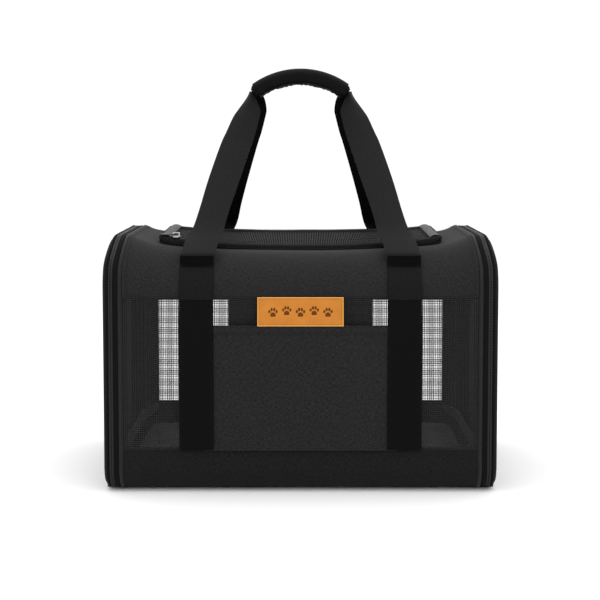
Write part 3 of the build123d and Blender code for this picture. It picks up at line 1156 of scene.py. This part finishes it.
# each section is a list of (x, inset from the bag's outline)
def makeEnds():
    gusset = [(203.2, 0.9), (205.5, 0.45), (208.0, 0.9), (208.0, 3.2), (204.6, 3.4),
              (204.6, 11.0), (203.2, 11.6), (203.2, 3.4)]
    cord = roundSection(((bag["panelEnd"] + 203) / 2, 2.3), 2.6)
    sleeve = [(204.8, 3.5), (207.8, 3.5), (208.0, 4.6), (207.2, 6.0), (205.4, 6.2), (204.7, 4.8)]
    tape = [(207.6, 1.7), (212.2, 1.8), (212.2, 2.3), (207.6, 2.9)]
    rings = (
        ("rightGusset", gusset, (0.0, 1.0), capCloth, "polyester", "gusset"),
        ("rightPiping", cord, (0.0, 1.0), pipingCloth, "piping", "piping"),
        ("rightHoopSleeve", sleeve, (0.0, 1.0), bindingCloth, "spring_steel", "spring_hoop"),
        ("rightZipTrack", tape, zipRun, bindingCloth, "zipper", "zip_track"),
    )
    made = [endRing(name, section, start=start, stop=stop)
            for name, section, (start, stop), *rest in rings]
    for ring, (*shape, material, slot, node) in zip(made, rings):
        finishPair(ring, "root", material, slot, [node])
    flat = bag["halfDepth"] - bag["corner"]

    def flapPoint(u, v):
        x = mix(hingeTape["from"], hingeTape["to"], u)
        y = mix(-flat, flat, v)
        return x, y, hingeTape["high"] + 0.15 * noise.noise(Vector((x * 0.2, y * 0.03, 0)))

    flap = gridPiece("rightHingeTape", 8, 60, flapPoint, (13.0, 2 * flat))
    thicken(flap, hingeTape["thick"])
    finishPair(flap, "root", bindingCloth, "binding_tape", ["hinge_tape"])


def zipTeeth(name, x, body):
    run = sampled(lambda t: (x, *outlinePoint(mix(*zipRun, t), teeth["inset"])), 240)
    coilRow(name, run, (1, 0, 0), body)


sill = {"thick": 1.8, "bound": 4.4, "below": 1.5, "bowIn": 13.0, "riseAtEnds": 22.0}


# the low cloth wall inside each doorway, bound along its top
def makeSills():
    low, high = cadBox("right_sill")
    reach = high.y + 1

    def place(u, v):
        y = mix(-reach, reach, v)
        z = mix(low.z, high.z - sill["below"], u)
        lean = 0.9 * noise.noise(Vector((y * 0.02, z * 0.03, 8.0)))
        inward = sill["bowIn"] * smoothStep((abs(y) - 74) / 61) ** 1.5
        lifted = sill["riseAtEnds"] * smoothStep((abs(y) - 100) / 36) * (1 - u)
        return low.x + 0.8 + lean - inward, y, z + lifted

    wall = gridPiece("rightSill", 12, 60, place, (high.z - low.z, 2 * reach))
    thicken(wall, sill["thick"])
    edge = gridPiece("rightSillEdge", 4, 60, lambda u, v: place(mix(0.74, 1.03, u), v),
                     (10.0, 2 * reach))
    thicken(edge, sill["bound"], soft=1.4)
    finishPair(wall, "root", capCloth, "polyester", ["sill"])
    # the sill's edge takes the pale tape, made paler still as painted light inside the doorway
    finishPair(edge, "root", innerTapeAndPaintedLight, "binding_tape")


makeEnds()
makeSills()
for side, sign in (("right", 1), ("left", -1)):
    zipTeeth(side + "TrackTeeth", sign * teeth["root"], "root")
print("ends made")


door = {"border": 34.0, "clear": 1.45, "netAt": 218.2, "hidden": 3.0, "upperCut": 20.0,
        "lowerCut": 6.0, "cornerShare": 0.97}


def makeDoors():
    capSection = [(214.2, 1.3), (214.6, 0.5), (215.8, 0.2), (217.0, 1.1), (218.2, 2.9),
                  (219.1, 5.4), (219.7, 8.6), (219.95, 13.0), (219.9, 26.0), (219.4, 33.0),
                  (218.6, 34.8), (217.2, 34.6), (216.8, 32.0), (216.6, 14.0), (216.2, 6.0),
                  (215.4, 3.4), (214.4, 2.8)]
    cap = endRing("rightDoorFrame", capSection, rows=220)
    windowEdge = endRing("windowEdge", roundSection((219.0, 35.2), 1.7, 8), rows=180)
    seamEdge = endRing("seamEdge", roundSection((219.2, 6.6), 1.0, 8), rows=200)
    for obj in (cap, seamEdge):               # the base of the door clears the hinge tape
        for vertex in obj.data.vertices:
            vertex.co.z = max(vertex.co.z, door["clear"])
    trims = joinPieces([windowEdge, seamEdge], "rightDoorPiping")
    tape = [(209.6, 2.7), (214.4, 2.6), (214.4, 3.6), (209.6, 3.2)]
    zipTape = endRing("rightDoorZip", tape, start=zipRun[0], stop=zipRun[1])
    wide = 2 * (bag["halfDepth"] - door["border"] + door["hidden"])
    tall = bag["hoopTop"] - 2 * door["border"] + 2 * door["hidden"]
    middle = bag["hoopTop"] / 2
    window = netPiece("rightDoorNet", wide, tall,
                      lambda a, b, c: (door["netAt"] + c, a, middle + b))
    trimCorners(window, wide / 2, tall / 2, middle)
    editAll(window, outward())
    finishPair(cap, "door", capCloth, "polyester", ["door_frame"])
    finishPair(trims, "door", pipingCloth, "piping")
    finishPair(zipTape, "door", bindingCloth, "zipper", ["door_zip"])
    for obj in finishPair(window, "door", netYarn, "mesh_net", ["door_mesh"]):
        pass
    for side, sign in (("right", 1), ("left", -1)):
        zipTeeth(side + "DoorTeeth", sign * teeth["door"], side + "_door")


# cuts a net's corners off along a slant that the frame's round corners hide
def trimCorners(obj, halfWide, halfTall, middle):
    pick(obj)
    bpy.ops.object.mode_set(mode="EDIT")
    for sideY in (-1, 1):
        for sideZ, back in ((1, door["upperCut"]), (-1, door["lowerCut"])):
            bpy.ops.mesh.select_all(action="SELECT")
            corner = (0, sideY * (halfWide - back / 2), middle + sideZ * (halfTall - back / 2))
            bpy.ops.mesh.bisect(plane_co=corner, plane_no=(0, sideY, sideZ), use_fill=True,
                                clear_outer=True)
    bpy.ops.object.mode_set(mode="OBJECT")


makeDoors()
print("doors made")


lidLow, lidHigh = cadBox("lid_border")


lid = {"half": (lidHigh.x, lidHigh.y), "low": lidLow.z, "high": lidHigh.z,
       "border": 15.0, "corner": 8.0, "zipRun": (0.165, 0.835), "teethRun": (0.17, 0.83),
       "tapeThick": 1.1, "netSink": 2.2, "netCrease": 1.3, "leastLift": 0.22}


# share of its full height at which the lid stands over the cloth: least in the middle
def lidLift(x):
    return mix(lid["leastLift"], 1.0, min(abs(x) / lidHigh.x, 1.0) ** 3)


# point (x, y) at share t round the lid, from the middle of its back edge
def lidOutline(t, inset):
    halfX, halfY = lid["half"][0] - inset, lid["half"][1] - inset
    radius = max(lid["corner"] - inset, 2.0)
    straight = [halfX - radius, 2 * (halfY - radius), 2 * (halfX - radius),
                2 * (halfY - radius), halfX - radius]
    arc = radius * math.pi / 2
    total = sum(straight) + 4 * arc
    s = t * total
    place, heading = Vector((0, halfY)), Vector((-1, 0))
    for i, run in enumerate(straight):
        if s <= run:
            return tuple(place + heading * s)
        place, s = place + heading * run, s - run
        if i == 4:
            break
        left = Vector((-heading.y, heading.x))
        if s <= arc:
            a = s / radius
            along, across = radius * math.sin(a), radius * (1 - math.cos(a))
            return tuple(place + heading * along + left * across)
        place = place + (heading + left) * radius
        heading, s = left, s - arc
    return tuple(place)


# a ring round the lid whose closed section is (inset, height over the lifted cloth)
def lidRing(name, section, rows=260, start=0.0, stop=1.0, soft=0.0, lift=0.0):
    count = len(section)

    def place(u, v):
        inset, height = section[round(u * count) % count]
        x, y = lidOutline(mix(start, stop, v), inset)
        sewnDown = height < 1.0 and y > lid["half"][1] - lid["border"] - 1
        if soft:
            height += soft * noise.noise(Vector((x * 0.03, y * 0.03, 5.5)))
        if lift:
            height += 0.1 if sewnDown else lift * lidLift(x)
        else:
            height *= lidLift(x)
        return x, y, topHeight(x, y) + height

    obj = gridPiece(name, count, rows, place, (sectionLength(section), 940.0), closed=True)
    if (start, stop) != (0.0, 1.0):
        closeEnds(obj)
    editAll(obj, outward())
    return obj


def makeLid():
    lift = lid["low"] - bag["middleTop"]
    lip = [(0.6, 0.2), (0.4, 2.2), (0.9, 3.8), (2.6, 4.0), (6.0, 3.2), (12.0, 1.6), (15.4, 1.0),
           (15.4, 0.1)]
    track = lidRing("lidZipTrack", lip, start=lid["zipRun"][0], stop=lid["zipRun"][1])
    finishPiece(track, "root", bindingCloth, "zipper", ["lid_zip_track"])
    top = lid["high"] - lid["low"]
    border = [(0.2, 0.5), (-0.2, 2.2), (0.7, top - 0.4), (2.6, top + 0.2),
              (7.5, top + 0.7), (12.0, top), (14.4, top - 1.2), (15.0, top - 2.4),
              (14.0, 0.8), (7.0, 0.3), (2.0, 0.1)]
    rim = lidRing("lidBorder", border, soft=0.5, lift=lift)
    finishPiece(rim, "lid", lidCloth, "polyester", ["lid_border"])

    def lidTop(x, y):
        return topHeight(x, y) + lift * lidLift(x) + top

    wide = 2 * (lid["half"][0] - lid["border"]) + 4
    deep = 2 * (lid["half"][1] - lid["border"]) + 4

    def place(a, b, c):
        u, v = a / wide * 2, b / deep * 2
        sink = lid["netSink"] * (1 - u * u) * (1 - v * v)
        along = (b + 12 - a * 0.03) / 7
        crease = lid["netCrease"] * math.exp(-along**2) * (1 - u**4)
        return a, b, lidTop(a, b) - 2.0 - sink + crease + c

    for name, sign in (("rightLidTape", 1), ("leftLidTape", -1)):
        def tapePoint(u, v, sign=sign):
            x = mix(149.5, 160.0, u if sign > 0 else 1 - u) * sign
            y = mix(-73.0, 73.0, v)
            arch = 1.4 * math.sin(math.pi * u) + 0.5
            return x, y, lidTop(x, y) + arch

        strip = gridPiece(name, 8, 50, tapePoint, (10.5, 146.0))
        thicken(strip, lid["tapeThick"], soft=0.4)
        finishPiece(strip, "lid", ribbedTape, "binding_tape")
    window = netPiece("lidNet", wide, deep, place, cutsWide=36, cutsTall=20, ribbed=6.0,
                      wider=1.7)
    editAll(window, outward())
    finishPiece(window, "lid", lidYarn, "mesh_net", ["lid_mesh"])
    steps = 300
    for name, body, inset, height in (("lidTrackTeeth", "root", 0.9, lift - 0.9),
                                      ("lidTeeth", "lid", 0.5, lift + 1.0)):
        def teethPoint(t):
            x, y = lidOutline(mix(*lid["teethRun"], t), inset)
            return x, y, topHeight(x, y) + height * lidLift(x)

        coilRow(name, sampled(teethPoint, steps), (0, 0, 1), body, across=0.8, thick=1.6)

    def seamPoint(t, inset, high):
        x, y = lidOutline(t, inset)
        return x, y, lidTop(x, y) + high

    runs = [sampled(lambda t: seamPoint(t, inset, high), steps)
            for inset, high in ((3.4, 0.55), (12.6, 0.165))]
    sewLine("lidStitches", runs, "lid")


makeLid()
print("lid made")


labelLow, labelHigh = cadBox("label")
label = {"wide": 95.4, "tall": 32.2, "thick": 1.8, "paws": 5, "step": 15.2, "pad": 2.5,
         "seam": 2.1, "wear": 0.85, "wearReach": 1.7}


# lays what is drawn flat, facing -Y with its middle at the origin, on the label's bridge
def labelTurn():
    run = (labelHigh.y - labelLow.y) - label["thick"]
    lean = math.atan2(run, labelHigh.z - labelLow.z)
    middle = (labelLow + labelHigh) / 2
    return Matrix.Translation((0, middle.y, middle.z)) @ Matrix.Rotation(-lean, 4, "X")


def makeLabel():
    deselectAll()
    bpy.ops.mesh.primitive_cube_add(size=1)
    tag = bpy.context.active_object
    tag.name = tag.data.name = "leatherLabel"
    tag.scale = (label["wide"], label["thick"], label["tall"])
    bpy.ops.object.transform_apply(scale=True)
    bpy.ops.object.mode_set(mode="EDIT")
    bpy.ops.mesh.select_all(action="DESELECT")
    bpy.ops.object.mode_set(mode="OBJECT")
    for face in tag.data.polygons:
        face.select = face.normal.y < -0.5
    bpy.ops.object.mode_set(mode="EDIT")
    for thickness, depth in ((1.3, 0.0), (0.5, -0.28), (0.5, 0.28)):
        bpy.ops.mesh.inset(thickness=thickness, depth=depth)
    bpy.ops.object.mode_set(mode="OBJECT")
    addModifier(tag, "BEVEL", width=0.35, segments=3, limit_method="ANGLE")
    applyModifiers(tag)
    editAll(tag, lambda: bpy.ops.mesh.subdivide(number_cuts=3))
    wear = tag.data.color_attributes.new("edgeWear", "FLOAT_COLOR", "POINT")
    for vertex, colour in zip(tag.data.vertices, wear.data):
        edge = min(label["wide"] / 2 - abs(vertex.co.x), label["tall"] / 2 - abs(vertex.co.z))
        worn = label["wear"] * (1 - smoothStep(edge / label["wearReach"]))
        colour.color = (worn, worn, worn, 1)
    tag.data.transform(labelTurn())
    finishPiece(tag, "root", tanLeather, "leather", ["label"])
    makePaws()
    x, z = label["wide"] / 2 - label["seam"], label["tall"] / 2 - label["seam"]
    y = -label["thick"] / 2 - 0.02
    ring = [(-x, y, -z), (x, y, -z), (x, y, z), (-x, y, z), (-x, y, -z)]
    sewLine("labelStitches", [[labelTurn() @ Vector(p) for p in ring]], "root",
            material=brownThread, slot="leather", pitch=3.1, long=2.0, thick=0.6)


# a row of plain paw prints pressed into the leather
def makePaws():
    pads = [(0.0, -0.85, 1.15, 0.95), (-0.55, -1.25, 0.7, 0.6), (0.55, -1.25, 0.7, 0.6),
            (-1.6, 0.45, 0.5, 0.72), (-0.6, 1.35, 0.52, 0.8),
            (0.6, 1.35, 0.52, 0.8), (1.6, 0.45, 0.5, 0.72)]
    dots = []
    for i in range(label["paws"]):
        centre = (i - (label["paws"] - 1) / 2) * label["step"]
        tip = 0.9 if i % 2 else -0.9
        for x, z, wide, tall in pads:
            deselectAll()
            place = (centre + x * label["pad"], -label["thick"] / 2, z * label["pad"] + tip)
            bpy.ops.mesh.primitive_uv_sphere_add(segments=20, ring_count=10, radius=1,
                                                 location=place)
            dot = bpy.context.active_object
            dot.scale = (wide * label["pad"], 0.12, tall * label["pad"])
            bpy.ops.object.transform_apply(location=True, scale=True)
            dots.append(dot)
    paws = joinPieces(dots, "labelPaws")
    paws.data.transform(labelTurn())
    finishPiece(paws, "root", pressedBrown, "leather")


makeLabel()
print("label made")


# a CAD node's own shape, in millimetres
def nodeCopy(name, node):
    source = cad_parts[node]
    copy = source.copy()
    copy.data = source.data.copy()
    copy.name = copy.data.name = name
    copy.parent = None
    bpy.context.scene.collection.objects.link(copy)
    copy.hide_render = copy.hide_viewport = False
    for key in list(copy.keys()):
        del copy[key]
    copy.data.transform(Matrix.Scale(1 / toMetres, 4))
    return copy


# a CAD node's own shape with its edges rounded off
def softCopy(name, node, body, material, slot, width, lower=0.0):
    copy = nodeCopy(name, node)
    copy.data.transform(Matrix.Translation((0, 0, -lower)))
    editAll(copy, weld(0.005), lambda: bpy.ops.mesh.dissolve_limited(angle_limit=math.radians(2)))
    addModifier(copy, "BEVEL", width=width, segments=2, limit_method="ANGLE",
                angle_limit=math.radians(40), use_clamp_overlap=True)
    return finishPiece(copy, body, material, slot, [node], smooth=45)


matLow, matHigh = cadBox("fleece_mat")
mat = {"voxel": 4.0, "crown": 1.6, "pile": (0.9, 0.6), "quiltDeep": 1.3, "quiltStep": 92.0}


def makeMat():
    middle = (matLow + matHigh) / 2
    pad = nodeCopy("fleeceMat", "fleece_mat")
    pad.data.transform(Matrix.Diagonal((0.995, 0.992, 1, 1)))
    editAll(pad, weld(0.005))
    addModifier(pad, "REMESH", mode="VOXEL", voxel_size=mat["voxel"])
    applyModifiers(pad)
    coarse, fine = mat["pile"]
    step = mat["quiltStep"]
    for vertex in pad.data.vertices:
        co = vertex.co
        if co.z <= middle.z:
            continue
        edge = min(matHigh.x - abs(co.x), matHigh.y - abs(co.y))
        crown = mat["crown"] * smoothStep(edge / 14) - 0.6
        pile = coarse * noise.noise(Vector((co.x * 0.05, co.y * 0.05, 0)))
        pile += fine * noise.noise(Vector((co.x * 0.19, co.y * 0.19, 4)))
        quilt = mat["quiltDeep"] * max(0, 1 - abs((co.x + 2 * step) % step - step / 2) / 5)
        co.z += crown + pile - quilt
    mapUv(pad, lambda co: (co.x, co.y + co.z))
    finishPiece(pad, "mat", fleecePile, "fleece", ["fleece_mat"], smooth=80)


makeMat()
softCopy("baseBoard", "base_board", "mat", stiffBoard, "board", 0.6)
print("mat made")


sliderLow = cadBox("lid_slider")[0]
sagged = topHeight(sliderLow.x, sliderLow.y)
sagged += (lid["low"] - bag["middleTop"]) * lidLift(sliderLow.x)
for owner, lower in (("lid", lid["low"] - sagged), ("right_door", 0.0), ("left_door", 0.0)):
    for part, material, slot in (("slider", nickel, "nickel"),
                                 ("pull", blackEnamel, "black_enamel")):
        node = owner + "_" + part
        first, *others = node.split("_")
        name = first + "".join(word.capitalize() for word in others)
        softCopy(name, node, node, material, slot, 0.28, lower)
print("sliders made")


def makeStage():
    deselectAll()
    bpy.ops.mesh.primitive_plane_add(size=14, location=(0, 2, 0))
    floor = bpy.context.active_object
    floor.name = "studioFloor"
    material, tree, shader = newMaterial("paleFloor")
    shader.inputs["Base Color"].default_value = (0.95, 0.95, 0.95, 1)
    shader.inputs["Roughness"].default_value = 0.9
    shader.inputs["Specular IOR Level"].default_value = 0.1
    floor.data.materials.append(material)


def addLight(name, place, aim, size, power):
    data = bpy.data.lights.new(name, "AREA")
    data.shape = "RECTANGLE"
    data.size, data.size_y = size
    data.energy = power
    light = bpy.data.objects.new(name, data)
    light.location = place
    light.rotation_euler = (Vector(aim) - Vector(place)).to_track_quat("-Z", "Y").to_euler()
    bpy.context.scene.collection.objects.link(light)


studio = {"world": 1.05, "overhead": 24.0, "front": 7.0}
camera = {"place": (0.0, -1.6676, 0.3969), "lens": 83.25, "pitch": 4.292, "shiftDown": 0.0978,
          "shiftSide": -0.0008}


def makeStudio():
    world = bpy.data.worlds.new("whiteRoom")
    world.use_nodes = True
    world.node_tree.nodes["Background"].inputs["Color"].default_value = (1, 1, 1, 1)
    world.node_tree.nodes["Background"].inputs["Strength"].default_value = studio["world"]
    bpy.context.scene.world = world
    addLight("overheadSoft", (0.0, -0.2, 2.2), (0, 0, 0.2), (2.6, 2.0), studio["overhead"])
    addLight("frontSoft", (1.0, -2.4, 1.5), (0, 0, 0.2), (1.6, 1.2), studio["front"])
    data = bpy.data.cameras.new("shopCamera")
    data.lens = camera["lens"]
    data.sensor_width = 36.0
    data.dof.use_dof = False
    data.shift_y = -camera["shiftDown"]
    data.shift_x = camera["shiftSide"]
    eye = bpy.data.objects.new("shopCamera", data)
    eye.location = camera["place"]
    eye.rotation_euler = (math.radians(90 - camera["pitch"]), 0, 0)
    bpy.context.scene.collection.objects.link(eye)
    bpy.context.scene.camera = eye
    bpy.context.scene.view_settings.view_transform = "Standard"


makeStage()
makeStudio()
print("stage, light and camera set")
